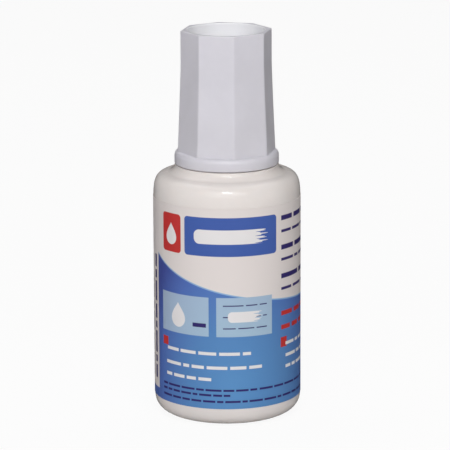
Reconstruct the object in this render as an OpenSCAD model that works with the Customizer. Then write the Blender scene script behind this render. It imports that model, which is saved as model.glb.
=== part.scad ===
// Correction fluid bottle with a screw cap that carries the brush.
// Millimetres, +Z up, origin at the middle of the foot, front towards -Y.

/* [Bottle body] */
// Outer diameter of the blown body
body_d = 28.6; // [27.5:0.1:34]
// Wall of the body, shoulder and base
wall = 0.9; // [0.7:0.05:1.2]
// Height at which the straight side ends and the shoulder starts
side_top = 43.6; // [38:0.1:54]
// How far the shoulder curve comes in from the side
shoulder_in = 2.7; // [2.4:0.1:3.3]
// Height of the shoulder curve
shoulder_h = 4.5; // [3.5:0.1:6]
// Slope of the flatter shoulder between the curve and the seat, in degrees
shoulder_slope = 8.4; // [6:0.2:12]
// Diameter of the raised seat under the collar of the cap
seat_d = 20.2; // [19:0.1:20.6]
// Height of the seat above the shoulder
seat_h = 1; // [1:0.1:1.6]
// Fillet between the shoulder and the seat
seat_fillet = 0.9; // [0.4:0.1:0.9]
// Fillet between the seat and the neck
neck_fillet = 0.5; // [0.3:0.05:0.8]

/* [Base] */
// How far the rounded bottom corner comes in from the side
corner_in = 5.7; // [4.5:0.1:6.5]
// Height of the rounded bottom corner
corner_h = 4; // [3:0.1:5]
// Width of the flat foot ring
foot_w = 1.2; // [0.9:0.1:2]
// Rise of the pushed-up base inside the foot ring
push_up = 1.1; // [0.6:0.1:1.8]

/* [Neck and thread] */
// Outer diameter of the neck between the threads
neck_d = 13.2; // [12:0.1:14]
// Bore of the neck
neck_bore_d = 10.6; // [9.8:0.1:11]
// Height of the neck above the seat
neck_h = 10.3; // [9.5:0.1:13]
// How far the neck thread stands out
thread_depth = 0.7; // [0.5:0.05:0.8]
// Rise of the thread in one turn
thread_lead = 3; // [2.8:0.1:3.4]
// Turns of thread on the neck and in the cap
thread_turns = 1.5; // [1.2:0.1:1.6]
// Width of a thread ridge at its root
thread_root_w = 1.25; // [1:0.05:1.3]
// Width of a thread ridge at its crest
thread_crest_w = 0.7; // [0.5:0.05:0.8]
// Plain land between the rim of the neck and its thread
rim_land = 1; // [0.8:0.1:1.5]
// Gap between a crest and the wall that it faces
crest_gap = 0.25; // [0.15:0.05:0.35]
// Gap between the two flanks that bear on each other when the cap is tight
flank_gap = 0.15; // [0.1:0.05:0.3]

/* [Cap] */
// Wall of the cap between its thread and the middle of a flat at the collar
grip_wall = 1.35; // [1.2:0.05:1.8]
// How far each flat comes in from the collar to the mouth of the cap
grip_taper = 0.65; // [0.3:0.05:0.9]
// Height of the straight part of the grip under the mouth
grip_straight = 6.4; // [3:0.2:8]
// Edge chamfer round the mouth
mouth_chamfer = 0.25; // [0.1:0.05:0.35]
// Depth taken off each long edge of the grip
edge_cut = 0.07; // [0.03:0.01:0.12]
// Angle of the first long edge from the front when the cap is tight, in degrees
grip_angle = 9; // [0:1:44]
// Depth of the open cup in the top of the cap
cup_depth = 14.7; // [8:0.1:18]
// Wall between the cup and the middle of a flat at the mouth
cup_wall = 0.9; // [0.7:0.05:1.1]
// How much narrower the cup is at its floor than at its mouth, on the radius
cup_draft = 0.2; // [0:0.05:0.3]
// Fillet round the floor of the cup
cup_fillet = 0.8; // [0.4:0.1:1.2]
// Thickness of the web that closes the bottle
web_t = 1.5; // [1.2:0.1:2]
// How far the collar stands out past the long edges of the grip
collar_lip = 0.58; // [0.3:0.02:0.8]
// Height of the collar
collar_h = 2.4; // [2:0.1:3.2]
// Height of the rounding on the upper edge of the collar
collar_round_h = 1; // [0.5:0.1:1.4]
// Rounding on the lower edge of the collar
collar_foot_r = 0.4; // [0.2:0.05:0.5]
// Gap between the collar and the seat of the bottle
collar_gap = 0.5; // [0.4:0.1:1]
// Gap between the web and the rim of the neck
seat_gap = 0.1; // [0.05:0.05:0.2]

/* [Plug seal] */
// Gap between the plug seal and the bore of the neck
plug_gap = 0.08; // [0.05:0.01:0.15]
// Wall of the plug seal
plug_wall = 0.7; // [0.5:0.05:1]
// Length of the plug seal below the web
plug_h = 2; // [1.2:0.1:3]
// Length of the tapered lead at the end of the plug seal
plug_lead = 0.6; // [0.3:0.1:0.8]

/* [Brush socket and stem] */
// Diameter of the head of the stem
head_d = 3.4; // [3:0.1:3.8]
// Length of the head of the stem
head_h = 4.6; // [4:0.1:6]
// Height of the snap bead on the head
bead_h = 0.8; // [0.6:0.1:1]
// How far the snap bead stands out
bead_out = 0.2; // [0.1:0.05:0.25]
// Running gap between the stem and its socket
socket_gap = 0.05; // [0.03:0.01:0.1]
// Wall of the socket
socket_wall = 1.15; // [0.9:0.05:1.3]
// Length of the socket below the web
socket_h = 4; // [3.4:0.1:5]
// Thickness of the flange under the socket
flange_t = 0.8; // [0.6:0.1:1.2]
// Diameter of the stem below its flange
stem_top_d = 3; // [2.8:0.1:3.4]
// Diameter of the stem at its lower end
stem_end_d = 2.6; // [2.5:0.1:2.8]
// Depth of the hole that holds the bristles
tuft_hole_h = 3.6; // [3:0.1:5]
// Diameter of the hole that holds the bristles
tuft_hole_d = 1.8; // [1.6:0.1:1.9]

/* [Bristles and anchor] */
// Free length of the bristles
bristle_h = 12; // [9:0.5:14]
// Greatest width of the tuft
tuft_d = 3.2; // [2.6:0.1:3.8]
// Width of the tuft at its tip
tuft_tip_d = 1.4; // [1:0.1:2]
// Gap between the tip of the bristles and the floor of the bottle
tip_gap = 4.8; // [4.5:0.1:7]
// Gap round the tuft in its hole
tuft_gap = 0.02; // [0.01:0.01:0.05]
// Length of the metal anchor across the hole
anchor_w = 2.2; // [2:0.05:2.3]
// Height of the metal anchor
anchor_h = 1; // [0.8:0.1:1.2]
// Thickness of the metal anchor
anchor_t = 0.3; // [0.2:0.05:0.4]
// Distance from the end of the hole to the top of the anchor
anchor_drop = 0.8; // [0.5:0.1:1]

/* [Label] */
// Thickness of the label film
film_t = 0.06; // [0.05:0.01:0.14]
// Thickness of the adhesive under the film
glue_t = 0.01; // [0.01:0.01:0.03]
// Bare strip between the label and the shoulder
label_top_margin = 0.05; // [0.05:0.05:2]
// Bare strip between the label and the rounded bottom corner
label_low_margin = 0.05; // [0:0.05:2]
// Width of the lap where the film covers its own end
lap_w = 3; // [2:0.5:6]
// Angle of the lap from the front, seen from above, in degrees
lap_angle = 215; // [190:1:260]

/* [Mixing ball] */
// Diameter of the mixing ball
ball_d = 5; // [4:0.5:6]
// Direction in which the ball lies, in degrees from +X
ball_angle = 180; // [0:5:355]

/* [Hidden] */
$fn = 96;
curve_steps = 10;
thread_steps = 28;
facets = 8;
tiny = 0.01;
through = 1;

// Bottle
body_r = body_d / 2;
foot_outer_r = body_r - corner_in;
foot_inner_r = foot_outer_r - foot_w;
corner_pull_in = 0.67 * corner_in;
corner_pull_down = 0.68 * corner_h;
shoulder_r = body_r - shoulder_in;
shoulder_z = side_top + shoulder_h;
shoulder_pull_up = 0.77 * shoulder_h;
shoulder_pull_out = 0.75 * shoulder_in;
neck_r = neck_d / 2;
neck_bore_r = neck_bore_d / 2;
seat_r = seat_d / 2;
seat_foot_z = shoulder_z + rise(shoulder_r, seat_r);
seat_z = seat_foot_z + seat_h;
neck_top = seat_z + neck_h;
floor_z = push_up + wall;
rim_round = 0.25;
seat_round = 0.15;

// Thread
crest_r = neck_r + thread_depth;
skirt_r = crest_r + crest_gap;
cap_crest_r = neck_r + crest_gap;
thread_low = neck_top - rim_land - thread_root_w / 2 - thread_turns * thread_lead;
flank_mid_w = (thread_root_w + thread_crest_w) / 2;
cap_thread_low = thread_low - flank_mid_w - flank_gap;
thread_root_in = 0.3;
thread_fade = 35;

// Cap
half_facet = 180 / facets;
flat_low = skirt_r + grip_wall;
flat_top = flat_low - grip_taper;
grip_r = flat_low / cos(half_facet) - edge_cut;
collar_r = grip_r + collar_lip;
collar_z = seat_z + collar_gap;
ledge_z = collar_z + collar_h;
web_z = neck_top + seat_gap;
cup_z = web_z + web_t;
mouth_z = cup_z + cup_depth;
straight_z = mouth_z - grip_straight;
cup_r = flat_top - cup_wall;
cup_floor_r = cup_r - cup_draft;
plug_r = neck_bore_r - plug_gap;
plug_inner_r = plug_r - plug_wall;

// Brush
head_r = head_d / 2;
socket_r = head_r + socket_gap;
boss_r = socket_r + socket_wall;
boss_z = web_z - socket_h;
flange_top = boss_z - socket_gap;
flange_z = flange_top - flange_t;
head_top = flange_top + head_h;
bead_z = boss_z + socket_h / 2;
tip_z = floor_z + tip_gap;
stem_end_z = tip_z + bristle_h;
hole_top = stem_end_z + tuft_hole_h;
tuft_root_r = tuft_hole_d / 2 - tuft_gap;
anchor_top = hole_top - anchor_drop;

// Label and ball
label_low = corner_h + label_low_margin;
label_top = side_top - label_top_margin;
film_inner_r = body_r + glue_t;
film_outer_r = film_inner_r + film_t;
ball_r = ball_d / 2;
ball_gap = 0.02;
ball_track_r = foot_outer_r;

// Rise of the sloping shoulder between two radii
function rise(from_r, to_r) = (from_r - to_r) * tan(shoulder_slope);

// Points of a cubic curve with two handles
function curve(a, b, c, d, steps = curve_steps) = [
    for (i = [0:steps]) let (t = i / steps, s = 1 - t)
        s * s * s * a + 3 * s * s * t * b + 3 * s * t * t * c + t * t * t * d
];

// Points of an arc about [x, y]
function arc(x, y, rx, ry, from_angle, to_angle, steps = 6) = [
    for (i = [0:steps]) let (a = from_angle + (to_angle - from_angle) * i / steps)
        [x + rx * cos(a), y + ry * sin(a)]
];

// Half the width across flats at a height, wider towards the collar
function flat_at(z) = let (t = max(0, (straight_z - z) / (straight_z - ledge_z)))
    flat_top + grip_taper * pow(t, 1.15);

// Heights of the steps of the grip, from below the collar's ledge to the mouth
function grip_heights(steps = 7) = concat(
    [for (i = [0:steps]) ledge_z + (straight_z - ledge_z) * i / steps],
    [mouth_z - mouth_chamfer]
);

// Outer line of the base, side and shoulder, a distance inside the surface
function bottle_line(inset) = let (
    r = body_r - inset,
    low = inset,
    slope_r = shoulder_r - inset * sin(shoulder_slope),
    slope_z = shoulder_z - inset * cos(shoulder_slope)
) concat(
    curve(
        [foot_outer_r, low],
        [foot_outer_r + corner_pull_in, low],
        [r, corner_h - corner_pull_down],
        [r, corner_h]
    ),
    curve(
        [r, side_top],
        [r, side_top + shoulder_pull_up - inset / 2],
        [slope_r + shoulder_pull_out * cos(shoulder_slope), slope_z - shoulder_pull_out * sin(shoulder_slope)],
        [slope_r, slope_z]
    )
);

// Middle of the base, pushed up inside the foot ring
function base_line(inset) = curve(
    [0, push_up + inset],
    [foot_inner_r * 0.5, push_up + inset],
    [foot_inner_r * 0.75, inset],
    [foot_inner_r, inset]
);

// One ridge of a screw thread with both ends faded out
module thread_ridge(root_r, crest_radius, low_z) {
    steps = ceil(thread_steps * thread_turns);
    bury = crest_radius > root_r ? -thread_root_in : thread_root_in;
    fade_steps = max(1, round(thread_fade * thread_steps / 360));
    rings = [for (i = [0:steps]) let (
        a = 360 * i / thread_steps,
        z = low_z + thread_lead * i / thread_steps,
        full = min(1, i / fade_steps, (steps - i) / fade_steps),
        tip_r = root_r + (crest_radius - root_r) * full,
        tip_w = thread_crest_w * full + thread_root_w * (1 - full),
        foot_r = root_r + bury,
        corners = [
            [foot_r, -thread_root_w / 2], [tip_r, -tip_w / 2], [tip_r, tip_w / 2], [foot_r, thread_root_w / 2]
        ]
    ) each [for (p = corners) [p[0] * cos(a), p[0] * sin(a), z + p[1]]]];
    outward = crest_radius > root_r;
    sides = [for (i = [0:steps - 1], k = [0:3]) let (
        here = 4 * i + k,
        next = 4 * i + (k + 1) % 4
    ) each [[here, next, next + 4], [here, next + 4, here + 4]]];
    ends = [[3, 2, 1], [3, 1, 0], [4 * steps, 4 * steps + 1, 4 * steps + 2], [4 * steps, 4 * steps + 2, 4 * steps + 3]];
    faces = concat(sides, ends);
    polyhedron(points = rings, faces = outward ? faces : [for (f = faces) [f[2], f[1], f[0]]]);
}

// Blown body, shoulder and neck as one hollow shell
module bottle_shell() {
    fillet_r = seat_r + seat_fillet;
    fillet_z = shoulder_z + rise(shoulder_r, fillet_r) + seat_fillet / cos(shoulder_slope);
    outer = concat(
        base_line(0),
        bottle_line(0),
        arc(fillet_r, fillet_z, seat_fillet, seat_fillet, 270 - shoulder_slope, 180),
        arc(seat_r - seat_round, seat_z - seat_round, seat_round, seat_round, 0, 90),
        arc(neck_r + neck_fillet, seat_z + neck_fillet, neck_fillet, neck_fillet, 270, 180),
        arc(neck_r - rim_round, neck_top - rim_round, rim_round, rim_round, 0, 90)
    );
    inner = concat(
        base_line(wall),
        bottle_line(wall),
        [
            [seat_r - wall / 5, seat_foot_z - wall], [seat_r - wall, seat_z - wall],
            [neck_bore_r, seat_z - wall], [neck_bore_r, neck_top]
        ]
    );
    rotate_extrude() polygon(concat(outer, [for (i = [len(inner) - 1:-1:0]) inner[i]]));
}

module bottle() {
    color("ghostwhite") {
        bottle_shell();
        thread_ridge(neck_r, crest_r, thread_low);
    }
}

// Printed film round the body, lapped over its own end
module label() {
    lap_span = lap_w / film_outer_r * 180 / PI;
    color("royalblue") {
        difference() {
            translate([0, 0, label_low]) cylinder(r = film_outer_r, h = label_top - label_low);
            translate([0, 0, label_low - through])
                cylinder(r = film_inner_r, h = label_top - label_low + 2 * through);
        }
        rotate([0, 0, lap_angle - 90])
            rotate_extrude(angle = lap_span)
                translate([film_outer_r - film_t / 2, label_low])
                    square([film_t * 1.5, label_top - label_low]);
    }
}

// Solid through rings of points that all have the same number of points, from the bottom up
module loft(rings) {
    n = len(rings[0]);
    top = (len(rings) - 1) * n;
    sides = [for (i = [0:len(rings) - 2], k = [0:n - 1]) let (
        here = i * n + k,
        next = i * n + (k + 1) % n
    ) each [[here, next + n, next], [here, here + n, next + n]]];
    bottom_face = [for (k = [1:n - 2]) [0, k, k + 1]];
    top_face = [for (k = [1:n - 2]) [top, top + k + 1, top + k]];
    polyhedron(points = [for (ring = rings) each ring], faces = concat(sides, bottom_face, top_face));
}

// Ring of the grip at a height: flats at a distance from the axis, long edges taken off
function grip_ring(flat, z) = [
    for (k = [0:facets - 1], side = [-1, 1]) let (
        a = grip_angle - 90 + half_facet * (2 * k + 1),
        along = side * (flat * tan(half_facet) - edge_cut / sin(half_facet))
    ) [flat * cos(a) - along * sin(a), flat * sin(a) + along * cos(a), z]
];

// Eight flats that flare towards the collar
module grip() {
    loft(concat(
        [grip_ring(flat_low, ledge_z - collar_h / 2)],
        [for (z = grip_heights()) grip_ring(flat_at(z), z)],
        [grip_ring(flat_top - mouth_chamfer, mouth_z)]
    ));
}

// Round collar at the foot of the grip
module collar() {
    rotate_extrude() polygon(concat(
        [[0, collar_z]],
        arc(collar_r - collar_foot_r, collar_z + collar_foot_r, collar_foot_r, collar_foot_r, -90, 0),
        arc(collar_r - collar_lip, ledge_z - collar_round_h, collar_lip, collar_round_h, 0, 90),
        [[0, ledge_z]]
    ));
}

// Open cup in the top of the cap
module cup() {
    rotate_extrude() polygon(concat(
        [[0, cup_z]],
        arc(cup_floor_r - cup_fillet, cup_z + cup_fillet, cup_fillet, cup_fillet, -90, 0),
        [[cup_r, mouth_z], [cup_r, mouth_z + through], [0, mouth_z + through]]
    ));
}

// Ring that plugs the bore of the neck
module plug_seal() {
    rotate_extrude() polygon([
        [plug_inner_r, web_z + tiny],
        [plug_inner_r, web_z - plug_h],
        [plug_r - plug_wall / 2, web_z - plug_h],
        [plug_r, web_z - plug_h + plug_lead],
        [plug_r, web_z + tiny]
    ]);
}

// Outline of the stem's head with its snap bead, grown on every side by a gap
function head_line(gap) = [
    [head_r + gap, flange_top],
    [head_r + gap, bead_z - bead_h / 2 - gap],
    [head_r + bead_out + gap, bead_z - bead_h / 4 - gap],
    [head_r + bead_out + gap, bead_z + bead_h / 4 + gap],
    [head_r + gap, bead_z + bead_h / 2 + gap],
    [head_r + gap, head_top + gap],
    [0, head_top + gap]
];

module cap() {
    color("white") {
        difference() {
            union() {
                difference() {
                    union() {
                        grip();
                        collar();
                    }
                    translate([0, 0, collar_z - through])
                        cylinder(r = skirt_r, h = web_z - collar_z + through);
                    cup();
                }
                plug_seal();
                translate([0, 0, boss_z]) cylinder(r = boss_r, h = socket_h + tiny);
            }
            rotate_extrude() polygon(concat([[0, flange_top]], head_line(socket_gap)));
        }
        thread_ridge(skirt_r, cap_crest_r, cap_thread_low);
    }
}

// Moulded stem that snaps into the cap and holds the bristles
module brush_stem() {
    color("whitesmoke") difference() {
        rotate_extrude() polygon(concat(
            [[0, stem_end_z], [stem_end_d / 2, stem_end_z], [stem_top_d / 2, flange_z]],
            [[boss_r, flange_z], [boss_r, flange_top]],
            head_line(0)
        ));
        translate([0, 0, stem_end_z - through]) cylinder(d = tuft_hole_d, h = tuft_hole_h + through);
        anchor_form();
    }
}

// Flat piece of wire that crosses the hole and bites into the stem
module anchor_form() {
    translate([-anchor_w / 2, -anchor_t / 2, anchor_top - anchor_h]) cube([anchor_w, anchor_t, anchor_h]);
}

module bristle_anchor() {
    color("goldenrod") anchor_form();
}

// Tuft that swells below the stem and closes to a soft tip
module bristles() {
    tip_r = tuft_tip_d / 2;
    belly_r = tuft_d / 2;
    belly_z = tip_z + 0.45 * bristle_h;
    exit_z = stem_end_z - tuft_gap;
    color("gainsboro") difference() {
        rotate_extrude() polygon(concat(
            arc(0, tip_z + tip_r, tip_r, tip_r, -90, -20),
            curve([0.8 * belly_r, tip_z + 0.2 * bristle_h], [0.95 * belly_r, tip_z + 0.28 * bristle_h],
                [belly_r, belly_z - 0.1 * bristle_h], [belly_r, belly_z]),
            curve([belly_r, belly_z], [belly_r, belly_z + 0.2 * bristle_h],
                [tuft_root_r, exit_z - 0.3 * bristle_h], [tuft_root_r, exit_z]),
            [[tuft_root_r, hole_top - tuft_gap], [0, hole_top - tuft_gap]]
        ));
        anchor_form();
    }
}

// Steel ball that stirs the fluid, at rest on the floor of the bottle
module mixing_ball() {
    color("silver") rotate([0, 0, ball_angle])
        translate([ball_track_r, 0, wall + ball_r + ball_gap]) sphere(r = ball_r);
}

bottle();
label();
cap();
brush_stem();
bristle_anchor();
bristles();
mixing_ball();
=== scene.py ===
import math
import random

import bmesh
import bpy
from mathutils import Matrix, Vector


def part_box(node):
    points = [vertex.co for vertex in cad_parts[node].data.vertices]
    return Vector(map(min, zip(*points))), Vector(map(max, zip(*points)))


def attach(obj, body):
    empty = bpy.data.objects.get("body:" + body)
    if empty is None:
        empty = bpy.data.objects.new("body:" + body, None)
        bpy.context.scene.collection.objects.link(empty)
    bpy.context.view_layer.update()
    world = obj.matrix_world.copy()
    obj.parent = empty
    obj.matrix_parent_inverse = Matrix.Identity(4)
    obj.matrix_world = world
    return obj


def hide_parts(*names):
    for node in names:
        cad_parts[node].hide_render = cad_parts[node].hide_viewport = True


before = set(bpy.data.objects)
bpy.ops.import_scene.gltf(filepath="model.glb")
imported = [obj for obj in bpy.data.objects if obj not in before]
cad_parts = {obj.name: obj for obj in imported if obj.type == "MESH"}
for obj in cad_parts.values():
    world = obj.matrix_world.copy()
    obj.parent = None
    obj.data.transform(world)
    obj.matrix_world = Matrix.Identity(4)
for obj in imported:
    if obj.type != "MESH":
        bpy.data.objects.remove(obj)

for spare in ("Cube", "Light", "Camera"):
    if spare in bpy.data.objects:
        bpy.data.objects.remove(bpy.data.objects[spare])
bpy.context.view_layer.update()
mm = 0.001


# camera

view = {
    "place": (-0.00006, -0.618, 0.1805),
    "downward": 13.049,  # degrees below the horizon
    "aside": 0.0303,
    "tilt": -0.256,
    "lens": 260.08,
    "sensor": 36,
}


def addCamera():
    lensData = bpy.data.cameras.new("viewCamera")
    lensData.lens = view["lens"]
    lensData.sensor_width = view["sensor"]
    camera = bpy.data.objects.new("viewCamera", lensData)
    bpy.context.scene.collection.objects.link(camera)
    turn = Matrix.Rotation(math.radians(view["aside"]), 4, "Z")
    pitch = Matrix.Rotation(math.radians(90 - view["downward"]), 4, "X")
    roll = Matrix.Rotation(math.radians(view["tilt"]), 4, "Z")
    camera.matrix_world = Matrix.Translation(view["place"]) @ turn @ pitch @ roll
    bpy.context.scene.camera = camera


addCamera()
print("camera set")


# lines and meshes, drawn in millimetres

def arcPoints(x, z, rx, rz, start, end, steps=6):
    turns = [math.radians(start + (end - start) * i / steps) for i in range(steps + 1)]
    return [(x + rx * math.cos(a), z + rz * math.sin(a)) for a in turns]


def curvePoints(a, b, c, d, steps=16):
    points = []
    for i in range(steps + 1):
        t = i / steps
        s = 1 - t
        weights = (s * s * s, 3 * s * s * t, 3 * s * t * t, t * t * t)
        points.append(tuple(sum(w * p[k] for w, p in zip(weights, (a, b, c, d))) for k in (0, 1)))
    return points


def closeSkin(bm):
    bmesh.ops.remove_doubles(bm, verts=bm.verts, dist=0.0005)
    bmesh.ops.recalc_face_normals(bm, faces=bm.faces)


def spinAbout(bm, geom, degrees, steps, rise=0, merge=False):
    return bmesh.ops.spin(bm, geom=geom, cent=(0, 0, 0), axis=(0, 0, 1), dvec=(0, 0, rise / steps),
                          angle=math.radians(degrees), steps=steps, use_merge=merge)["geom_last"]


def spinOutline(bm, outline, steps):
    verts = [bm.verts.new((r, 0, z)) for r, z in outline]
    edges = [bm.edges.new(pair) for pair in zip(verts, verts[1:])]
    spinAbout(bm, verts + edges, 360, steps, merge=True)
    closeSkin(bm)


def sectionFace(bm, corners):
    verts = [bm.verts.new((r, 0, z)) for r, z in corners]
    face = bm.faces.new(verts)
    return verts + list(face.edges) + [face]


def onlyVerts(geom):
    return [g for g in geom if isinstance(g, bmesh.types.BMVert)]


def softenEdges(bm, offset, sharper=40, segments=2):
    limit = math.radians(sharper)
    edges = [e for e in bm.edges if len(e.link_faces) == 2 and e.calc_face_angle() > limit]
    bmesh.ops.bevel(bm, geom=edges, offset=offset, offset_type="OFFSET", segments=segments,
                    profile=0.5, affect="EDGES", material=-1, clamp_overlap=True)


def smoothShade(made, crease):
    made.data.shade_smooth()
    made.data.set_sharp_from_angle(angle=math.radians(crease))


def asObject(bm, name, crease=35):
    bmesh.ops.scale(bm, vec=(mm, mm, mm), verts=bm.verts)
    mesh = bpy.data.meshes.new(name)
    bm.to_mesh(mesh)
    bm.free()
    made = bpy.data.objects.new(name, mesh)
    bpy.context.scene.collection.objects.link(made)
    smoothShade(made, crease)
    return made


def unite(target, tool, crease=35):
    join = target.modifiers.new("join", "BOOLEAN")
    join.operation = "UNION"
    join.solver = "EXACT"
    join.object = tool
    graph = bpy.context.evaluated_depsgraph_get()
    mesh = bpy.data.meshes.new_from_object(target.evaluated_get(graph))
    target.modifiers.clear()
    target.data = mesh
    bpy.data.objects.remove(tool)
    smoothShade(target, crease)


def dress(made, material, body, node):
    made.data.materials.clear()
    made.data.materials.append(material)
    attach(made, body)
    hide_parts(node)
    print(made.name, len(made.data.polygons), "faces")


# shader nodes

def toLinear(levels):
    steps = [v / 255 for v in levels]
    return [v / 12.92 if v <= 0.04045 else ((v + 0.055) / 1.055) ** 2.4 for v in steps] + [1]


def newMaterial(name):
    material = bpy.data.materials.new(name)
    material.use_nodes = True
    material.node_tree.nodes.clear()
    return material, material.node_tree


def addNode(tree, kind, **settings):
    made = tree.nodes.new(kind)
    for key, value in settings.items():
        setattr(made, key, value)
    return made


def plug(tree, socket, value):
    if isinstance(value, bpy.types.NodeSocket):
        tree.links.new(value, socket)
    else:
        socket.default_value = value


def calc(tree, operation, *values):
    made = addNode(tree, "ShaderNodeMath", operation=operation)
    for socket, value in zip(made.inputs, values):
        plug(tree, socket, value)
    return made.outputs[0]


def distance(tree, across, up):
    squares = [calc(tree, "MULTIPLY", part, part) for part in (across, up)]
    return calc(tree, "SQRT", calc(tree, "ADD", *squares))


def fade(tree, value, start, end, low=0.0, high=1.0):
    made = addNode(tree, "ShaderNodeMapRange", interpolation_type="SMOOTHSTEP")
    given = {"Value": value, "From Min": start, "From Max": end, "To Min": low, "To Max": high}
    for key in given:
        plug(tree, made.inputs[key], given[key])
    return made.outputs["Result"]


def blend(tree, share, under, over):
    made = addNode(tree, "ShaderNodeMix", data_type="RGBA")
    plug(tree, made.inputs[0], share)
    plug(tree, made.inputs[6], under)
    plug(tree, made.inputs[7], over)
    return made.outputs[2]


def rampOf(tree, value, stops, interpolation="LINEAR"):
    made = addNode(tree, "ShaderNodeValToRGB")
    tree.links.new(value, made.inputs[0])
    made.color_ramp.interpolation = interpolation
    elements = made.color_ramp.elements
    elements.remove(elements[1])
    elements[0].color = stops[0][1]
    for place, colour in stops[1:]:
        elements.new(place).color = colour
    return made.outputs[0]


def objectPlace(tree):
    return addNode(tree, "ShaderNodeTexCoord").outputs["Object"]


def split(tree, vector):
    made = addNode(tree, "ShaderNodeSeparateXYZ")
    tree.links.new(vector, made.inputs[0])
    return made.outputs


def noise(tree, scale, detail=2.0, roughness=0.5):
    made = addNode(tree, "ShaderNodeTexNoise")
    made.inputs["Scale"].default_value = scale
    made.inputs["Detail"].default_value = detail
    made.inputs["Roughness"].default_value = roughness
    tree.links.new(objectPlace(tree), made.inputs["Vector"])
    return made.outputs[0]


usualSpread = (0.3, 0.7)  # where most of a noise's values lie


def mottled(tree, marks, spread, tones):
    return blend(tree, fade(tree, marks, *spread), toLinear(tones[0]), toLinear(tones[1]))


def bumpFrom(tree, height, deep, under=None):
    made = addNode(tree, "ShaderNodeBump")
    made.inputs["Distance"].default_value = deep
    tree.links.new(height, made.inputs["Height"])
    if under:
        tree.links.new(under, made.inputs["Normal"])
    return made.outputs[0]


def showSurface(tree, shader):
    end = addNode(tree, "ShaderNodeOutputMaterial")
    tree.links.new(shader.outputs[0], end.inputs["Surface"])


def finishWith(tree, colour, normal, roughness, values):
    shader = addNode(tree, "ShaderNodeBsdfPrincipled")
    plug(tree, shader.inputs["Base Color"], colour)
    plug(tree, shader.inputs["Roughness"], roughness)
    tree.links.new(normal, shader.inputs["Normal"])
    for key, value in values.items():
        shader.inputs[key].default_value = value
    showSurface(tree, shader)


# screw threads, for the neck and the cap

def makeThread(size):
    bm = bmesh.new()
    foot = size["root"] + size["bury"]
    half = size["rootWide"] / 2
    crestHalf = size["crestWide"] / 2
    corners = ((foot, -half), (size["crest"], -crestHalf), (size["crest"], crestHalf), (foot, half))
    section = sectionFace(bm, [(r, size["low"] + z) for r, z in corners])
    spinAbout(bm, section, 360 * size["turns"], size["steps"], size["lead"] * size["turns"])
    sunk = size["root"] + size["bury"] * 0.1  # just inside the wall
    fadeTurns = size["fade"] / 360
    for v in bm.verts:  # both ends of the crest run out into the wall
        r = math.hypot(v.co.x, v.co.y)
        if abs(r - foot) < 0.01:
            continue  # the foot of the thread stays in the wall
        around = math.atan2(v.co.y, v.co.x) / math.tau % 1
        turn = around + round((v.co.z - size["low"]) / size["lead"] - around)
        full = max(0, min(1, turn / fadeTurns, (size["turns"] - turn) / fadeTurns))
        ratio = (sunk + (r - sunk) * full) / r
        v.co.x *= ratio
        v.co.y *= ratio
    bmesh.ops.recalc_face_normals(bm, faces=bm.faces)
    return asObject(bm, "thread")


# bottle

bottle = {
    "sideTop": 43.6,
    "shoulderIn": 2.7,
    "shoulderHigh": 4.5,
    "shoulderSlope": 8.4,  # degrees
    "seat": 10.1,
    "seatHigh": 1.35,
    "seatFillet": 1.7,
    "seatRound": 0.15,
    "neckFillet": 0.5,
    "wall": 0.9,
    "cornerIn": 5.7,
    "cornerHigh": 4,
    "footWide": 1.2,
    "pushUp": 1.1,
    "cornerPull": (0.67, 0.32),  # shares of the corner, out and up
    "shoulderPull": (0.75, 0.77),
    "pushPull": (0.5, 0.75),
    "neck": 6.6,
    "bore": 5.3,
    "rimRound": 0.25,
    "steps": 192,
    "thread": {
        "root": 6.6,
        "crest": 7.3,
        "low": 53.496,
        "lead": 3,
        "turns": 1.5,
        "rootWide": 1.25,
        "crestWide": 0.7,
        "bury": -0.3,  # into the wall, here inwards
        "fade": 35,  # degrees over which each end of the crest runs out
        "steps": 144,
    },
    "look": {  # in metres; noise is given as scale, detail and roughness
        "tones": ((230, 223, 219), (234, 227, 223)),
        "clouds": (90, 3, 0.6),
        "cloudSpread": (0.35, 0.7),
        "flow": (420, 2),
        "flowDeep": 0.00004,
        "roughness": (0.11, 0.15),
        "grain": (2600,),
        "grainShare": 0.25,
        "seam": (0.00004, 0.00016),  # half width of the mould's parting line, then where it ends
        "seamDeep": 0.00002,
        "finish": {"IOR": 1.5, "Specular IOR Level": 0.3, "Subsurface Weight": 0.15,
                   "Subsurface Scale": 0.0015, "Subsurface Radius": (1, 0.8, 0.7)},
    },
}


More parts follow.
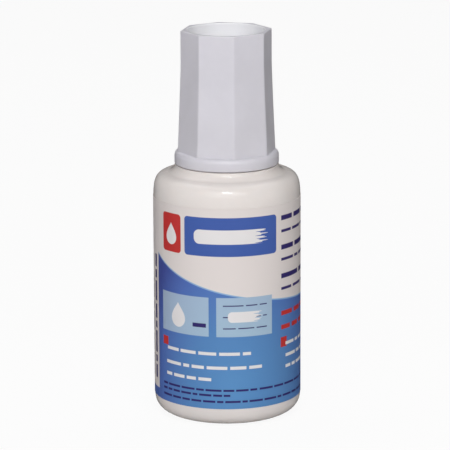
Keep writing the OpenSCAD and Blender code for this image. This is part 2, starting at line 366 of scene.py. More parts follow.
def bottleOutline(size, bodyR, top):
    slope = math.radians(size["shoulderSlope"])
    footOut = bodyR - size["cornerIn"]
    footIn = footOut - size["footWide"]
    shoulderR = bodyR - size["shoulderIn"]
    shoulderZ = size["sideTop"] + size["shoulderHigh"]
    cornerOut, cornerUp = size["cornerPull"]
    shoulderOut, shoulderUp = size["shoulderPull"]
    pushFlat, pushSpread = size["pushPull"]
    pullOut = shoulderOut * size["shoulderIn"]

    def slopeAt(r):
        return shoulderZ + (shoulderR - r) * math.tan(slope)

    def side(inset):
        r = bodyR - inset
        inR = shoulderR - inset * math.sin(slope)
        inZ = shoulderZ - inset * math.cos(slope)
        corner = curvePoints((footOut, inset), (footOut + cornerOut * size["cornerIn"], inset),
                             (r, cornerUp * size["cornerHigh"]), (r, size["cornerHigh"]))
        shoulder = curvePoints((r, size["sideTop"]),
                               (r, size["sideTop"] + shoulderUp * size["shoulderHigh"] - inset / 2),
                               (inR + pullOut * math.cos(slope), inZ - pullOut * math.sin(slope)),
                               (inR, inZ))
        return corner + shoulder

    def middle(inset):
        rise = size["pushUp"] + inset
        return curvePoints((0, rise), (footIn * pushFlat, rise), (footIn * pushSpread, inset),
                           (footIn, inset), steps=10)

    wall = size["wall"]
    seat = size["seat"]
    seatZ = slopeAt(seat) + size["seatHigh"]
    outer = middle(0) + side(0)
    fillet = size["seatFillet"]
    filletZ = slopeAt(seat + fillet) + fillet / math.cos(slope)
    edge = size["seatRound"]
    over = math.asin(max(0, filletZ - seatZ + edge) / fillet)
    outer += arcPoints(seat + fillet, filletZ, fillet, fillet, 270 - size["shoulderSlope"],
                       180 + math.degrees(over), steps=12)
    outer += arcPoints(seat - edge, seatZ - edge, edge, edge, 0, 90)
    fillet = size["neckFillet"]
    outer += arcPoints(size["neck"] + fillet, seatZ + fillet, fillet, fillet, 270, 180)
    edge = size["rimRound"]
    outer += arcPoints(size["neck"] - edge, top - edge, edge, edge, 0, 90)
    inner = middle(wall) + side(wall)
    inner += [(seat - wall / 5, slopeAt(seat) - wall), (seat - wall, seatZ - wall)]
    inner.append((size["bore"], seatZ - wall))
    inner += arcPoints(size["bore"] + edge, top - edge, edge, edge, 180, 90)
    return outer + inner[::-1]


def bottlePlastic():
    look = bottle["look"]
    material, tree = newMaterial("bottlePlastic")
    colour = mottled(tree, noise(tree, *look["clouds"]), look["cloudSpread"], look["tones"])
    flow = noise(tree, *look["flow"])
    aside = calc(tree, "ABSOLUTE", split(tree, objectPlace(tree))["Y"])
    seam = fade(tree, aside, *look["seam"], 1, 0)
    grain = calc(tree, "MULTIPLY", noise(tree, *look["grain"]), look["grainShare"])
    flowing = bumpFrom(tree, flow, look["flowDeep"])
    normal = bumpFrom(tree, calc(tree, "ADD", grain, seam), look["seamDeep"], flowing)
    finishWith(tree, colour, normal, fade(tree, flow, *usualSpread, *look["roughness"]), look["finish"])
    return material


def addBottle():
    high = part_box("bottle")[1] / mm
    bm = bmesh.new()
    spinOutline(bm, bottleOutline(bottle, high.x, high.z), bottle["steps"])
    shell = asObject(bm, "bottleShell")
    unite(shell, makeThread(bottle["thread"]))
    dress(shell, bottlePlastic(), "bottle", "bottle")


addBottle()


# label film

film = {
    "outer": 14.365,
    "thick": 0.055,
    "lapWide": 3,
    "lapStart": 125,  # degrees from +X
    "lapRise": 4,  # degrees over which the far end climbs on the near one
    "lapGap": 0.01,
    "edge": 0.3,  # share of the thickness that the cut edge is bevelled by
    "steps": 240,
    "riseSteps": 6,
    "lapSteps": 8,
    "look": {
        "ripple": (160, 2),
        "rippleDeep": 0.00006,
        "grain": (3000,),
        "grainDeep": 0.000004,
        "roughness": (0.34, 0.4),
        "finish": {"IOR": 1.45},
    },
}


def labelMesh():
    size = film
    low, high = [corner.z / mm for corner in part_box("label")]
    inner = size["outer"] - size["thick"]
    edge = size["thick"] * size["edge"]
    bm = bmesh.new()
    section = sectionFace(bm, [(inner, low), (size["outer"] - edge, low), (size["outer"], low + edge),
                               (size["outer"], high - edge), (size["outer"] - edge, high), (inner, high)])
    turn = Matrix.Rotation(math.radians(size["lapStart"]), 3, "Z")
    bmesh.ops.rotate(bm, cent=(0, 0, 0), matrix=turn, verts=onlyVerts(section))
    last = spinAbout(bm, section, 360 - size["lapRise"], size["steps"])
    climb = 1
    for i in range(1, size["riseSteps"] + 1):
        last = spinAbout(bm, last, size["lapRise"] / size["riseSteps"], 1)
        share = i / size["riseSteps"]
        rise = (size["thick"] + size["lapGap"]) * share * share * (3 - 2 * share)
        grown = (size["outer"] + rise) / size["outer"]
        bmesh.ops.scale(bm, vec=(grown / climb, grown / climb, 1), verts=onlyVerts(last))
        climb = grown
    lapTurn = math.degrees(size["lapWide"] / size["outer"])
    spinAbout(bm, last, lapTurn, size["lapSteps"])
    bmesh.ops.recalc_face_normals(bm, faces=bm.faces)
    return asObject(bm, "labelFilm")


# print on the label: fields of colour, plain bars in rows, drops and swipes

design = {  # millimetres round the body from the front, and above the foot
    "inks": {
        "paper": (226, 218, 215),
        "deepBlue": (66, 80, 156),
        "midBlue": (79, 111, 184),
        "clearBlue": (84, 134, 190),
        "lightBlue": (90, 146, 200),
        "blockBlue": (62, 92, 168),
        "lineBlue": (150, 190, 222),
        "red": (196, 48, 46),
        "navy": (48, 38, 104),
        "white": (230, 227, 227),
        "boxPale": (210, 230, 230),
    },
    "soft": 0.04,  # half the width over which an edge of ink fades
    "sweep": {"level": 23, "rise": 10, "start": -16.46, "fall": 17.73, "line": 0.22, "lineShare": 0.8},
    "strip": {"left": -27, "right": -17.0, "low": 5.95},
    "glow": {"round": 1, "high": 8, "leftWide": 17, "rightWide": 24, "tall": 24, "widest": 1.05,
             "reach": 1.4, "stops": ((0, "lightBlue"), (0.36, "clearBlue"), (0.7, "midBlue"),
                                     (0.93, "deepBlue"))},
    "redBlock": (-14.7, -9.6, 34.3, 41.9, 0.7),  # left, right, low, high and corner
    "blueBlock": (-8.7, 10.3, 34.3, 41.9, 0.7),
    "boxes": ((-15.05, -3.65, 18.45, 26.2, 0.05), (-2.15, 9.2, 18.45, 26.2, 0.05)),
    "boxTint": 0.5,
    "seed": 5,  # of the lengths of the bars
    "bullets": ((-14.95, -13.25, 15.5, 17.2, 0.05), (11.5, 13.3, 15.2, 17.2, 0.05)),
    "drops": {  # round, level of the widest part, radius, height above it
        "block": (-12.15, 37.2, 1.45, 3.0),
        "box": (-10.4, 21.4, 1.75, 3.3),
    },
    "dropTaper": {"power": 1.4, "fullness": 1.4},  # how the top of a drop draws in
    "swipes": {  # left, right, low, high, corner, how ragged the right end is
        "block": (-6.6, 6.9, 36.7, 39.5, 1.1, 0.9),
        "box": (0.1, 6.1, 21.3, 23.4, 0.8, 0.6),
    },
    "streaks": {"coarse": 9, "fine": 23, "fineShare": 0.6},  # of the ragged end of a swipe
    "rowGroups": {  # left, right and level of each row of bars
        "white": {"ink": "white", "tall": 0.62, "word": (1.3, 4.2), "gap": 0.55, "rows": (
            (-13.5, 4.6, 15.05), (-13.8, 6.9, 12.25), (-13.8, -3.2, 9.9),
            (12.9, 24.0, 15.8), (12.9, 27.0, 13.4), (12.9, 22.0, 11.2))},
        "fine": {"ink": "navy", "tall": 0.42, "word": (1.0, 3.2), "gap": 0.36, "rows": (
            (-15.1, 30.0, 7.75), (-15.0, 0.5, 6.75), (-15.1, 30.0, 5.5))},
        "heading": {"ink": "navy", "tall": 0.95, "word": (3.4, 6.4), "gap": 0.7, "rows": (
            (11.6, 22.5, 40.9), (11.6, 27.5, 35.1), (11.6, 24.5, 29.4))},
        "text": {"ink": "navy", "tall": 0.55, "word": (1.6, 4.4), "gap": 0.6, "rows": (
            (11.6, 29.5, 38.3), (11.6, 26.0, 32.7), (11.6, 28.0, 26.9))},
        "note": {"ink": "red", "tall": 0.9, "word": (2.4, 4.6), "gap": 0.7, "rows": (
            (11.6, 22.0, 22.0), (11.6, 23.0, 19.2))},
        "lines": {"ink": "navy", "tall": 0.22, "word": (2.0, 4.0), "gap": 0.5, "rows": (
            (-0.9, 8.0, 24.6), (-0.9, 8.0, 22.35), (-0.9, 8.0, 20.1))},
        "dash": {"ink": "navy", "tall": 0.8, "word": (2.6, 3.0), "gap": 0.5, "rows": (
            (-7.0, -4.2, 20.6),)},
    },
    "columnGroups": {  # low, high and place round the body of each line that runs up the side
        "side": {"ink": "navy", "tall": 1.0, "word": (1.2, 4.6), "gap": 0.6, "rows": (
            (7.6, 32.6, -18.5), (7.6, 27.0, -21.2))},
    },
}


def roundedMask(tree, around, level, patch, soft):
    left, right, low, high, corner = patch
    dx = calc(tree, "ABSOLUTE", calc(tree, "SUBTRACT", around, (left + right) / 2))
    dz = calc(tree, "ABSOLUTE", calc(tree, "SUBTRACT", level, (low + high) / 2))
    outX = calc(tree, "MAXIMUM", calc(tree, "SUBTRACT", dx, (right - left) / 2 - corner), 0)
    outZ = calc(tree, "MAXIMUM", calc(tree, "SUBTRACT", dz, (high - low) / 2 - corner), 0)
    return fade(tree, distance(tree, outX, outZ), corner - soft, corner + soft, 1, 0)


def dropMask(tree, around, level, drop, soft):
    middle, widest, radius, tall = drop
    taper = design["dropTaper"]
    dz = calc(tree, "SUBTRACT", level, widest)
    up = calc(tree, "MINIMUM", calc(tree, "DIVIDE", calc(tree, "MAXIMUM", dz, 0), tall), 1)
    down = calc(tree, "MINIMUM", dz, 0)
    belly = calc(tree, "SQRT", calc(tree, "MAXIMUM", calc(tree, "SUBTRACT", radius * radius,
                                                          calc(tree, "MULTIPLY", down, down)), 0))
    drawnIn = calc(tree, "POWER", calc(tree, "SUBTRACT", 1, up), taper["power"])
    full = calc(tree, "ADD", 1, calc(tree, "MULTIPLY", up, taper["fullness"]))
    wide = calc(tree, "MULTIPLY", belly, calc(tree, "MULTIPLY", drawnIn, full))
    dx = calc(tree, "ABSOLUTE", calc(tree, "SUBTRACT", around, middle))
    return fade(tree, calc(tree, "SUBTRACT", dx, wide), -2 * soft, 0, 1, 0)


def swipeMask(tree, around, level, swipe, soft):
    left, right, low, high, corner, ragged = swipe
    streaks = design["streaks"]
    coarse = calc(tree, "SINE", calc(tree, "MULTIPLY", level, streaks["coarse"]))
    fine = calc(tree, "SINE", calc(tree, "MULTIPLY", level, streaks["fine"]))
    fine = calc(tree, "MULTIPLY", fine, streaks["fineShare"])
    streak = calc(tree, "MULTIPLY", calc(tree, "ADD", coarse, fine), ragged)
    whole = roundedMask(tree, around, level, (left, right + 3 * ragged, low, high, corner), soft)
    ends = fade(tree, calc(tree, "SUBTRACT", around, streak), right - soft, right + soft, 1, 0)
    return calc(tree, "MULTIPLY", whole, ends)


def rowMask(tree, around, level, row, group, soft, lengths):
    left, right, middle = row
    near = calc(tree, "ABSOLUTE", calc(tree, "SUBTRACT", level, middle))
    inRow = fade(tree, near, group["tall"] / 2 - soft, group["tall"] / 2 + soft, 1, 0)
    along = calc(tree, "DIVIDE", calc(tree, "SUBTRACT", around, left), right - left)
    stops = [(0, (0, 0, 0, 1))]
    at = 0.01
    while at < right - left and len(stops) < 31:  # a colour ramp takes 32 stops
        end = min(at + lengths.uniform(*group["word"]), right - left)
        for place, on in ((at, 1), (end, 0)):
            stops.append((place / (right - left), (on, on, on, 1)))
        at = end + group["gap"]
    return calc(tree, "MULTIPLY", inRow, rampOf(tree, along, stops, "CONSTANT"))


def glowBlue(tree, around, level, ink):
    glow = design["glow"]
    aside = calc(tree, "SUBTRACT", around, glow["round"])
    toLeft = calc(tree, "DIVIDE", aside, -glow["leftWide"])
    toRight = calc(tree, "DIVIDE", aside, glow["rightWide"])
    aside = calc(tree, "MINIMUM", calc(tree, "MAXIMUM", toLeft, toRight), glow["widest"])
    above = calc(tree, "DIVIDE", calc(tree, "SUBTRACT", level, glow["high"]), glow["tall"])
    far = calc(tree, "DIVIDE", distance(tree, aside, above), glow["reach"])
    return rampOf(tree, far, [(place, ink[name]) for place, name in glow["stops"]])


def sweptGround(tree, around, level, ink, blue, soft):  # white above the sweep, blue below it
    strip = design["strip"]
    beyond = calc(tree, "LESS_THAN", around, strip["left"])
    onward = calc(tree, "MULTIPLY_ADD", beyond, math.tau * film["outer"], around)
    sweep = design["sweep"]
    fallen = calc(tree, "DIVIDE", calc(tree, "SUBTRACT", sweep["start"], onward), sweep["fall"])
    edge = calc(tree, "MULTIPLY_ADD", calc(tree, "EXPONENT", fallen), sweep["rise"], sweep["level"])
    depth = calc(tree, "SUBTRACT", edge, level)
    rightOfStrip = fade(tree, onward, strip["right"] - soft, strip["right"] + soft)
    under = calc(tree, "MULTIPLY", fade(tree, depth, -soft, soft), rightOfStrip)
    foot = fade(tree, level, strip["low"] - soft, strip["low"] + soft, 1, 0)
    line = fade(tree, depth, sweep["line"], sweep["line"] + 2 * soft, 1, 0)
    line = calc(tree, "MULTIPLY", line, sweep["lineShare"])
    lined = blend(tree, line, blue, ink["lineBlue"])
    return blend(tree, calc(tree, "MAXIMUM", under, foot), ink["paper"], lined)


def printColour(tree):
    soft = design["soft"]
    ink = {name: toLinear(levels) for name, levels in design["inks"].items()}
    place = split(tree, objectPlace(tree))
    level = calc(tree, "DIVIDE", place["Z"], mm)
    angle = calc(tree, "ARCTAN2", place["X"], calc(tree, "MULTIPLY", place["Y"], -1))
    around = calc(tree, "MULTIPLY", angle, film["outer"])
    blue = glowBlue(tree, around, level, ink)
    colour = sweptGround(tree, around, level, ink, blue, soft)

    tint = blend(tree, design["boxTint"], blue, ink["boxPale"])
    patches = [(patch, tint) for patch in design["boxes"]]
    patches += [(design["redBlock"], ink["red"]), (design["blueBlock"], ink["blockBlue"])]
    patches += [(patch, ink["red"]) for patch in design["bullets"]]
    for patch, fill in patches:
        colour = blend(tree, roundedMask(tree, around, level, patch, soft), colour, fill)
    lengths = random.Random(design["seed"])
    for groups, along, across in (("rowGroups", around, level), ("columnGroups", level, around)):
        for group in design[groups].values():
            for row in group["rows"]:
                bars = rowMask(tree, along, across, row, group, soft, lengths)
                colour = blend(tree, bars, colour, ink[group["ink"]])
    for drop in design["drops"].values():
        colour = blend(tree, dropMask(tree, around, level, drop, soft), colour, ink["white"])
    for swipe in design["swipes"].values():
        colour = blend(tree, swipeMask(tree, around, level, swipe, soft), colour, ink["white"])
    return colour


def labelPrint():
    look = film["look"]
    material, tree = newMaterial("labelPrint")
    colour = printColour(tree)
    ripple = noise(tree, *look["ripple"])
    rippled = bumpFrom(tree, ripple, look["rippleDeep"])
    normal = bumpFrom(tree, noise(tree, *look["grain"]), look["grainDeep"], rippled)
    finishWith(tree, colour, normal, fade(tree, ripple, *usualSpread, *look["roughness"]), look["finish"])
    return material


dress(labelMesh(), labelPrint(), "bottle", "label")


# cap

cap = {
    "facets": 8,
    "flatLow": 8.9,
    "flatTop": 8.25,
    "flare": 1.15,
    "straight": 69.522,
    "ledge": 52.222,
    "longEdgeRound": 0.5,
    "firstEdge": 9,  # degrees from the front
    "cuts": 19,
    "flareSteps": 10,
    "ledgeFillet": 0.22,
    "rimRound": 0.22,
    "cupTop": 7.35,
    "cupFloor": 7.15,
    "cupLow": 61.221,
    "cupFillet": 0.8,
    "collarLip": 0.58,
    "collarRound": 1.0,
    "collarFoot": 0.3,
    "skirt": 7.55,
    "skirtEdge": 0.15,
    "web": 59.721,
    "plug": 5.22,
    "plugWall": 0.7,
    "plugHigh": 2,
    "plugLead": 0.6,
    "boss": 2.9,
    "bossHigh": 4,
    "hole": 1.75,
    "holeTop": 60.321,
    "grooveZ": 57.721,
    "grooveDeep": 0.2,
    "grooveHigh": 0.9,
    "thread": {
        "root": 7.55,
        "crest": 6.85,
        "low": 52.371,
        "lead": 3,
        "turns": 1.5,
        "rootWide": 1.25,
        "crestWide": 0.7,
        "bury": 0.3,
        "fade": 35,
        "steps": 144,
    },
    "look": {
        "tones": ((210, 208, 215), (215, 213, 220)),
        # painted light: the inside of the cup gets this lighter tone, standing in for the light that
        # comes through its wall
        "cupPaintedLight": (240, 240, 243),  # light comes through the wall of the cup
        "cupWide": (0.0074, 0.0078),
        "cupLow": (0.0605, 0.061),
        "clouds": (110, 3, 0.6),
        "cloudSpread": (0.3, 0.7),
        "flow": (240, 2),
        "flowDeep": 0.00005,
        "grain": (2400, 3),
        "grainDeep": 0.000012,
        "roughness": (0.34, 0.42),
        "finish": {"IOR": 1.49, "Subsurface Weight": 0.2, "Subsurface Scale": 0.002,
                   "Subsurface Radius": (0.9, 0.9, 1)},
    },
}


def pullRing(bm, ring, place):
    made = bmesh.ops.extrude_edge_only(bm, edges=ring)["geom"]
    fresh = set(onlyVerts(made))
    for v in fresh:
        v.co = place(v.co)
    return [g for g in made if isinstance(g, bmesh.types.BMEdge) and set(g.verts) <= fresh]


def grownTo(ratio, z, limit=math.inf):
    def place(co):
        grown = Vector((co.x * ratio, co.y * ratio, 0))
        if grown.length > limit:
            grown *= limit / grown.length
        return Vector((grown.x, grown.y, z))
    return place


def roundTo(r, z):
    def place(co):
        flat = Vector((co.x, co.y, 0)).normalized()
        return Vector((flat.x * r, flat.y * r, z))
    return place


def gripSection(bm, size):
    corner = size["flatLow"] / math.cos(math.pi / size["facets"])
    bmesh.ops.create_circle(bm, cap_ends=True, segments=size["facets"], radius=corner)
    turn = Matrix.Rotation(math.radians(size["firstEdge"]), 3, "Z")
    bmesh.ops.rotate(bm, cent=(0, 0, 0), matrix=turn, verts=bm.verts)
    bmesh.ops.translate(bm, vec=(0, 0, size["straight"]), verts=bm.verts)
    tangent = size["longEdgeRound"] * math.tan(math.pi / size["facets"])
    bmesh.ops.bevel(bm, geom=list(bm.verts), offset=tangent, offset_type="OFFSET", segments=4,
                    profile=0.5, affect="VERTICES", material=-1, clamp_overlap=True)
    bmesh.ops.delete(bm, geom=list(bm.faces), context="FACES_ONLY")
    flats = [e for e in bm.edges if e.calc_length() > size["flatLow"] / 2]
    bmesh.ops.subdivide_edges(bm, edges=flats, cuts=size["cuts"])
    return list(bm.edges)


def capOutlines(size, collarR, low, top):
    rim = size["rimRound"]
    fillet = size["cupFillet"]
    foot = size["collarFoot"]
    web = size["web"]
    plugLow = web - size["plugHigh"]
    bossLow = web - size["bossHigh"]
    hole, groove, tall = size["hole"], size["grooveZ"], size["grooveHigh"]
    cup = arcPoints(size["cupTop"] + rim, top - rim, rim, rim, 90, 180, steps=4)
    cup += arcPoints(size["cupFloor"] - fillet, size["cupLow"] + fillet, fillet, fillet, 0, -90, steps=8)
    cup += [(size["cupFloor"] / 2, size["cupLow"]), (0, size["cupLow"])]
    below = arcPoints(collarR - size["collarLip"], size["ledge"] - size["collarRound"],
                      size["collarLip"], size["collarRound"], 90, 0, steps=8)
    below += arcPoints(collarR - foot, low + foot, foot, foot, 0, -90)
    below += [(size["skirt"] + size["skirtEdge"], low), (size["skirt"], low + size["skirtEdge"]),
              (size["skirt"], web)]
    below += [(size["plug"], web), (size["plug"], plugLow + size["plugLead"]),
              (size["plug"] - size["plugWall"] / 2, plugLow), (size["plug"] - size["plugWall"], plugLow),
              (size["plug"] - size["plugWall"], web)]
    below += [(size["boss"], web), (size["boss"], bossLow), (hole, bossLow)]
    below += [(hole, groove - tall / 2), (hole + size["grooveDeep"], groove - tall / 4),
              (hole + size["grooveDeep"], groove + tall / 4), (hole, groove + tall / 2)]
    below += [(hole, size["holeTop"]), (0, size["holeTop"])]
    return cup, below


def capMesh():
    size = cap
    rim, fillet = size["rimRound"], size["ledgeFillet"]
    low, high = [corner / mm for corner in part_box("cap")]
    ledgeR = high.x - size["collarLip"]
    cup, below = capOutlines(size, high.x, low.z, high.z)
    bm = bmesh.new()
    middle = gripSection(bm, size)
    flat = size["flatTop"]
    narrow = flat / size["flatLow"]
    bmesh.ops.scale(bm, vec=(narrow, narrow, 1), verts=bm.verts)

    ring = middle
    for out, z in arcPoints(flat - rim, high.z - rim, rim, rim, 0, 90, steps=4):
        ring = pullRing(bm, ring, grownTo(out / flat, z))
        flat = out
    for r, z in cup:
        ring = pullRing(bm, ring, roundTo(r, z))

    ring = middle
    flat = size["flatTop"]
    for i in range(1, size["flareSteps"] + 1):
        z = size["straight"] + (size["ledge"] + fillet - size["straight"]) * i / size["flareSteps"]
        down = (size["straight"] - z) / (size["straight"] - size["ledge"])
        out = size["flatTop"] + (size["flatLow"] - size["flatTop"]) * down ** size["flare"]
        ring = pullRing(bm, ring, grownTo(out / flat, z))
        flat = out
    for out, z in arcPoints(flat + fillet, size["ledge"] + fillet, fillet, fillet, 180, 270, steps=4)[1:]:
        ring = pullRing(bm, ring, grownTo(out / flat, z, ledgeR))
        flat = out
    for r, z in below:
        ring = pullRing(bm, ring, roundTo(r, z))
    closeSkin(bm)
    return asObject(bm, "capShell")


def capPlastic():
    look = cap["look"]
    material, tree = newMaterial("capPlastic")
    outside = mottled(tree, noise(tree, *look["clouds"]), look["cloudSpread"], look["tones"])
    place = split(tree, objectPlace(tree))
    # painted light: the inside of the cup is coloured lighter than the outside, for light that comes
    # through its wall
    within = fade(tree, distance(tree, place["X"], place["Y"]), *look["cupWide"], 1, 0)
    paintedLightInCup = calc(tree, "MULTIPLY", within, fade(tree, place["Z"], *look["cupLow"]))
    colour = blend(tree, paintedLightInCup, outside, toLinear(look["cupPaintedLight"]))
    grain = noise(tree, *look["grain"])
    flowing = bumpFrom(tree, noise(tree, *look["flow"]), look["flowDeep"])
    normal = bumpFrom(tree, grain, look["grainDeep"], flowing)
    finishWith(tree, colour, normal, fade(tree, grain, *usualSpread, *look["roughness"]), look["finish"])
    return material


def addCap():
    shell = capMesh()
    unite(shell, makeThread(cap["thread"]))
    dress(shell, capPlastic(), "cap", "cap")


addCap()


# brush: stem, tuft and the wire that holds the tuft

stem = {
    "headR": 1.7,
    "beadOut": 0.2,
    "beadHigh": 0.8,
    "beadZ": 57.721,
    "flangeR": 2.9,
    "flangeLow": 54.871,
    "flangeTop": 55.671,
    "topR": 1.5,
    "endR": 1.3,
    "tuftHoleR": 0.9,
    "tuftHoleTop": 22.4,
    "edge": 0.08,
    "steps": 72,
    "look": {
        "tones": ((222, 220, 212), (230, 228, 221)),
        "clouds": (200, 2),
        "cloudSpread": (0.3, 0.7),
        "grain": (2600, 2),
        "grainDeep": 0.00001,
        "roughness": (0.36, 0.44),
        "finish": {"IOR": 1.49, "Subsurface Weight": 0.35, "Subsurface Scale": 0.0015,
                   "Subsurface Radius": (1, 0.95, 0.85)},
    },
}
tuft = {
    "strands": 230,
    "strandR": 0.05,
    "rootR": 0.83,
    "swell": 0.72,
    "gather": 0.3,
    "root": 22.3,
    "exit": 18.8,
    "tip": 6.82,
    "levels": 10,
    "sides": 5,
    "seed": 3,
    "turnSpread": 0.15,  # radians, as is bendSpread
    "bendSpread": 0.09,
    "lengthSpread": 0.035,  # shares of the free length, as is outerShort
    "outerShort": 0.2,
    "outerPower": 2.4,
    "swellEnd": 0.97,
    "swellPower": 0.85,
    "gatherPower": 4,
    "thinTip": 0.6,
    "thinPower": 3,
    "look": {
        "tones": ((206, 200, 186), (222, 217, 205)),
        "fluidTone": (229, 227, 223),  # fluid left on the ends
        "fluidUpTo": (0.0065, 0.0125),
        "clouds": (1500, 2),
        "cloudSpread": (0.35, 0.65),
        "grain": (5000, 2),
        "grainDeep": 0.000006,
        "roughness": 0.34,
        "finish": {"IOR": 1.53, "Subsurface Weight": 0.3, "Subsurface Scale": 0.0005},
    },
}
anchor = {
    "round": 0.06,
    "sharper": 40,  # degrees between faces, where an edge is rounded
    "segments": 3,
    "look": {
        "tones": ((196, 160, 88), (214, 182, 112)),
        "scratches": (3000, 3),
        "scratchDeep": 0.000004,
        "roughness": 0.28,
        "finish": {"Metallic": 1},
    },
}


def stemMesh():
    size = stem
    low, high = [corner.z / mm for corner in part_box("brush_stem")]
    head, out, tall, bead = size["headR"], size["beadOut"], size["beadHigh"], size["beadZ"]
    hole, flange = size["tuftHoleR"], size["flangeR"]
    outline = [(0, size["tuftHoleTop"]), (hole, size["tuftHoleTop"]), (hole, low)]
    outline += [(size["endR"], low), (size["topR"], size["flangeLow"]), (flange, size["flangeLow"]),
                (flange, size["flangeTop"]), (head, size["flangeTop"])]
    outline += [(head, bead - tall / 2), (head + out, bead - tall / 4), (head + out, bead + tall / 4),
                (head, bead + tall / 2), (head, high), (0, high)]
    bm = bmesh.new()
    spinOutline(bm, outline, size["steps"])
    softenEdges(bm, size["edge"])
    return asObject(bm, "brushStem")


def tuftMesh():
    size = tuft
    drawn = random.Random(size["seed"])
    bm = bmesh.new()
    ring = bmesh.ops.create_circle(bm, cap_ends=True, segments=size["sides"], radius=size["strandR"])
    face = ring["verts"][0].link_faces[0]
    for _ in range(size["levels"]):
        made = bmesh.ops.extrude_face_region(bm, geom=[face])["geom"]
        bmesh.ops.translate(bm, vec=(0, 0, 1), verts=onlyVerts(made))
        face = [g for g in made if isinstance(g, bmesh.types.BMFace)][0]
    pattern = list(bm.verts) + list(bm.edges) + list(bm.faces)
    bmesh.ops.recalc_face_normals(bm, faces=bm.faces)
    free = size["exit"] - size["tip"]
    goldenAngle = math.pi * (3 - math.sqrt(5))
    for i in range(size["strands"]):
        last = i == size["strands"] - 1
        verts = onlyVerts(pattern if last else bmesh.ops.duplicate(bm, geom=pattern)["geom"])
        out = math.sqrt((i + 0.5) / size["strands"])
        turn = i * goldenAngle + drawn.uniform(-size["turnSpread"], size["turnSpread"])
        short = size["outerShort"] * out ** size["outerPower"]
        reach = 1 - short - drawn.uniform(0, size["lengthSpread"])
        bend = drawn.uniform(-size["bendSpread"], size["bendSpread"])
        for v in verts:
            step = round(v.co.z)
            down = reach * max(0, step - 1) / (size["levels"] - 1)
            z = size["root"] if step == 0 else size["exit"] - free * down
            swell = size["swell"] * math.sin(math.pi * size["swellEnd"] * down ** size["swellPower"])
            r = out * (size["rootR"] + swell - size["gather"] * down ** size["gatherPower"])
            at = turn + bend * down
            thin = 1 - size["thinTip"] * down ** size["thinPower"]
            v.co = (r * math.cos(at) + v.co.x * thin, r * math.sin(at) + v.co.y * thin, z)
    bmesh.ops.recalc_face_normals(bm, faces=bm.faces)
    return asObject(bm, "bristleTuft", crease=60)


def anchorMesh():
    low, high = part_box("bristle_anchor")
    wide = (high - low) / mm
    bm = bmesh.new()
    bmesh.ops.create_cube(bm, size=1)
    bmesh.ops.scale(bm, vec=wide, verts=bm.verts)
    bmesh.ops.translate(bm, vec=(low + high) / 2 / mm, verts=bm.verts)
    softenEdges(bm, anchor["round"], anchor["sharper"], anchor["segments"])
    return asObject(bm, "anchorStrip")


def stemPlastic():
    look = stem["look"]
    material, tree = newMaterial("stemPlastic")
    colour = mottled(tree, noise(tree, *look["clouds"]), look["cloudSpread"], look["tones"])
    grain = noise(tree, *look["grain"])
    normal = bumpFrom(tree, grain, look["grainDeep"])
    finishWith(tree, colour, normal, fade(tree, grain, *usualSpread, *look["roughness"]), look["finish"])
    return material


def bristleNylon():
    look = tuft["look"]
    material, tree = newMaterial("bristleNylon")
    level = split(tree, objectPlace(tree))["Z"]
    nearTip = fade(tree, level, *look["fluidUpTo"], 1, 0)
    clean = mottled(tree, noise(tree, *look["clouds"]), look["cloudSpread"], look["tones"])
    colour = blend(tree, nearTip, clean, toLinear(look["fluidTone"]))
    normal = bumpFrom(tree, noise(tree, *look["grain"]), look["grainDeep"])
    finishWith(tree, colour, normal, look["roughness"], look["finish"])
    return material


def anchorWire():
    look = anchor["look"]
    material, tree = newMaterial("anchorWire")
    scratches = noise(tree, *look["scratches"])
    colour = mottled(tree, scratches, usualSpread, look["tones"])
    normal = bumpFrom(tree, scratches, look["scratchDeep"])
    finishWith(tree, colour, normal, look["roughness"], look["finish"])
    return material


def addBrush():
    dress(stemMesh(), stemPlastic(), "brush", "brush_stem")
    dress(tuftMesh(), bristleNylon(), "brush", "bristles")
    dress(anchorMesh(), anchorWire(), "brush", "bristle_anchor")


addBrush()


# mixing ball

ball = {
    "rounds": 5,  # times the ball's triangles are divided
    "look": {
        "tones": ((176, 176, 178), (204, 204, 205)),
        "marks": (1800, 4, 0.6),
        "markSpread": (0.35, 0.65),
        "markDeep": 0.000005,
        "roughness": (0.12, 0.22),
        "finish": {"Metallic": 1},
    },
}


def ballMesh():
    low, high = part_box("mixing_ball")
    bm = bmesh.new()
    bmesh.ops.create_icosphere(bm, subdivisions=ball["rounds"], radius=(high.z - low.z) / 2 / mm)
    bmesh.ops.translate(bm, vec=(low + high) / 2 / mm, verts=bm.verts)
    return asObject(bm, "steelBall", crease=60)


def ballSteel():
    look = ball["look"]
    material, tree = newMaterial("ballSteel")
    marks = noise(tree, *look["marks"])
    colour = mottled(tree, marks, look["markSpread"], look["tones"])
    normal = bumpFrom(tree, marks, look["markDeep"])
    finishWith(tree, colour, normal, fade(tree, marks, *usualSpread, *look["roughness"]), look["finish"])
    return material


dress(ballMesh(), ballSteel(), "bottle", "mixing_ball")


# floor, light and the white around them

studio = {  # metres
    "roundSteps": 96,
    "floorR": 3,
    "floorTone": (240, 239, 238),
    "floorFibres": (40, 2),
    "floorDimmer": 0.99,  # of its tone, between the fibres
    "floorLift": 0.92,  # how far the camera sees it as plain white
    "surroundLeft": (114, 114, 117),
    "surroundRight": (78, 77, 76),
    "velvetR": 0.3,
    "velvetHigh": 0.3,
    "velvetStart": 0.001,  # where the upright cloth begins, above the floor
    "velvetLaid": 0.0002,  # and where the flat one lies
    "velvetTurns": (180, 48),  # degrees that it stands round the back, and steps
    "velvetTone": (34, 34, 36),
    "velvetNap": (30, 2),
    "velvetLighter": 1.1,
}
lamps = {  # place, aim, width, height, watts
    "front": ((-0.02, -0.84, 0.49), (0, 0, 0.047), 1.1, 0.54, 4.42),
    "behind": ((0, 0.25, 0.75), (0, 0, 0.04), 0.9, 0.6, 2.5),
    "flash": ((0, -0.63, 0.54), (0, 0, 0.047), 0.2, 0.14, 1.75),
}


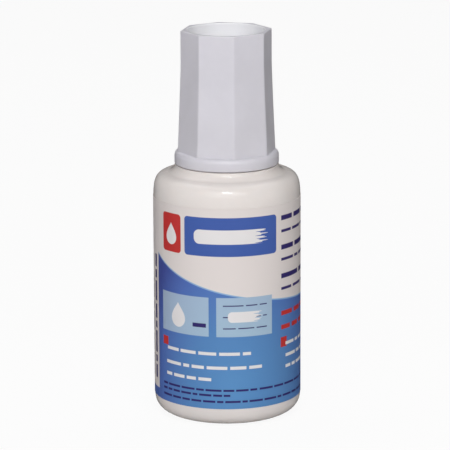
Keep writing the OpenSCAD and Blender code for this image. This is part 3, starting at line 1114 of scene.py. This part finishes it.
def seenDirectly(tree):
    path = addNode(tree, "ShaderNodeLightPath").outputs
    seen = calc(tree, "ADD", path["Is Camera Ray"], path["Is Glossy Ray"])
    return calc(tree, "MINIMUM", calc(tree, "ADD", seen, path["Is Transmission Ray"]), 1)


def floorPaper():
    material, tree = newMaterial("floorPaper")
    paper = addNode(tree, "ShaderNodeBsdfDiffuse")
    fibres = fade(tree, noise(tree, *studio["floorFibres"]), *usualSpread)
    tone = toLinear(studio["floorTone"])
    dimmer = [part * studio["floorDimmer"] for part in tone]
    plug(tree, paper.inputs["Color"], blend(tree, fibres, tone, dimmer))
    lift = addNode(tree, "ShaderNodeEmission")
    lift.inputs["Strength"].default_value = 1
    mix = addNode(tree, "ShaderNodeMixShader")
    tree.links.new(calc(tree, "MULTIPLY", seenDirectly(tree), studio["floorLift"]), mix.inputs[0])
    tree.links.new(paper.outputs[0], mix.inputs[1])
    tree.links.new(lift.outputs[0], mix.inputs[2])
    showSurface(tree, mix)
    return material


def addFloor():
    bm = bmesh.new()
    bmesh.ops.create_circle(bm, cap_ends=True, segments=studio["roundSteps"],
                            radius=studio["floorR"] / mm)
    floor = asObject(bm, "floor")
    floor.data.materials.append(floorPaper())


def velvet():
    material, tree = newMaterial("velvet")
    cloth = addNode(tree, "ShaderNodeEmission")
    nap = fade(tree, noise(tree, *studio["velvetNap"]), *usualSpread)
    tone = toLinear(studio["velvetTone"])
    lighter = [part * studio["velvetLighter"] for part in tone]
    plug(tree, cloth.inputs["Color"], blend(tree, nap, tone, lighter))
    showSurface(tree, cloth)
    return material


def addVelvet():  # dark cloth under and behind the bottle, which only its gloss picks up
    bm = bmesh.new()
    out = studio["velvetR"] / mm
    foot = bm.verts.new((out, 0, studio["velvetStart"] / mm))
    rim = bm.verts.new((out, 0, studio["velvetHigh"] / mm))
    spinAbout(bm, [foot, rim, bm.edges.new((foot, rim))], *studio["velvetTurns"])
    laid = Matrix.Translation((0, 0, studio["velvetLaid"] / mm))
    bmesh.ops.create_circle(bm, cap_ends=True, segments=studio["roundSteps"], radius=out, matrix=laid)
    cloth = asObject(bm, "velvet")
    cloth.data.materials.append(velvet())
    cloth.visible_camera = False
    cloth.visible_diffuse = False
    cloth.visible_shadow = False
    cloth.visible_transmission = False


def addSurround():
    world = bpy.data.worlds.new("surround")
    bpy.context.scene.world = world
    world.use_nodes = True
    tree = world.node_tree
    tree.nodes.clear()
    across = split(tree, addNode(tree, "ShaderNodeTexCoord").outputs["Generated"])["X"]
    soft = blend(tree, fade(tree, across, -0.8, 0.8), toLinear(studio["surroundLeft"]),
                 toLinear(studio["surroundRight"]))
    shown = blend(tree, seenDirectly(tree), soft, (1, 1, 1, 1))
    back = addNode(tree, "ShaderNodeBackground")
    tree.links.new(shown, back.inputs["Color"])
    end = addNode(tree, "ShaderNodeOutputWorld")
    tree.links.new(back.outputs[0], end.inputs["Surface"])


def addLamp(name, place, aim, wide, tall, watts):
    lampData = bpy.data.lights.new(name, "AREA")
    lampData.shape = "RECTANGLE"
    lampData.size = wide
    lampData.size_y = tall
    lampData.energy = watts
    lamp = bpy.data.objects.new(name, lampData)
    bpy.context.scene.collection.objects.link(lamp)
    lamp.location = place
    lamp.rotation_euler = (Vector(aim) - Vector(place)).to_track_quat("-Z", "Y").to_euler()


addFloor()
addVelvet()
addSurround()
for lampName, values in lamps.items():
    addLamp(lampName, *values)
bpy.context.scene.view_settings.view_transform = "Standard"
print("stage lit")

bpy.context.view_layer.update()
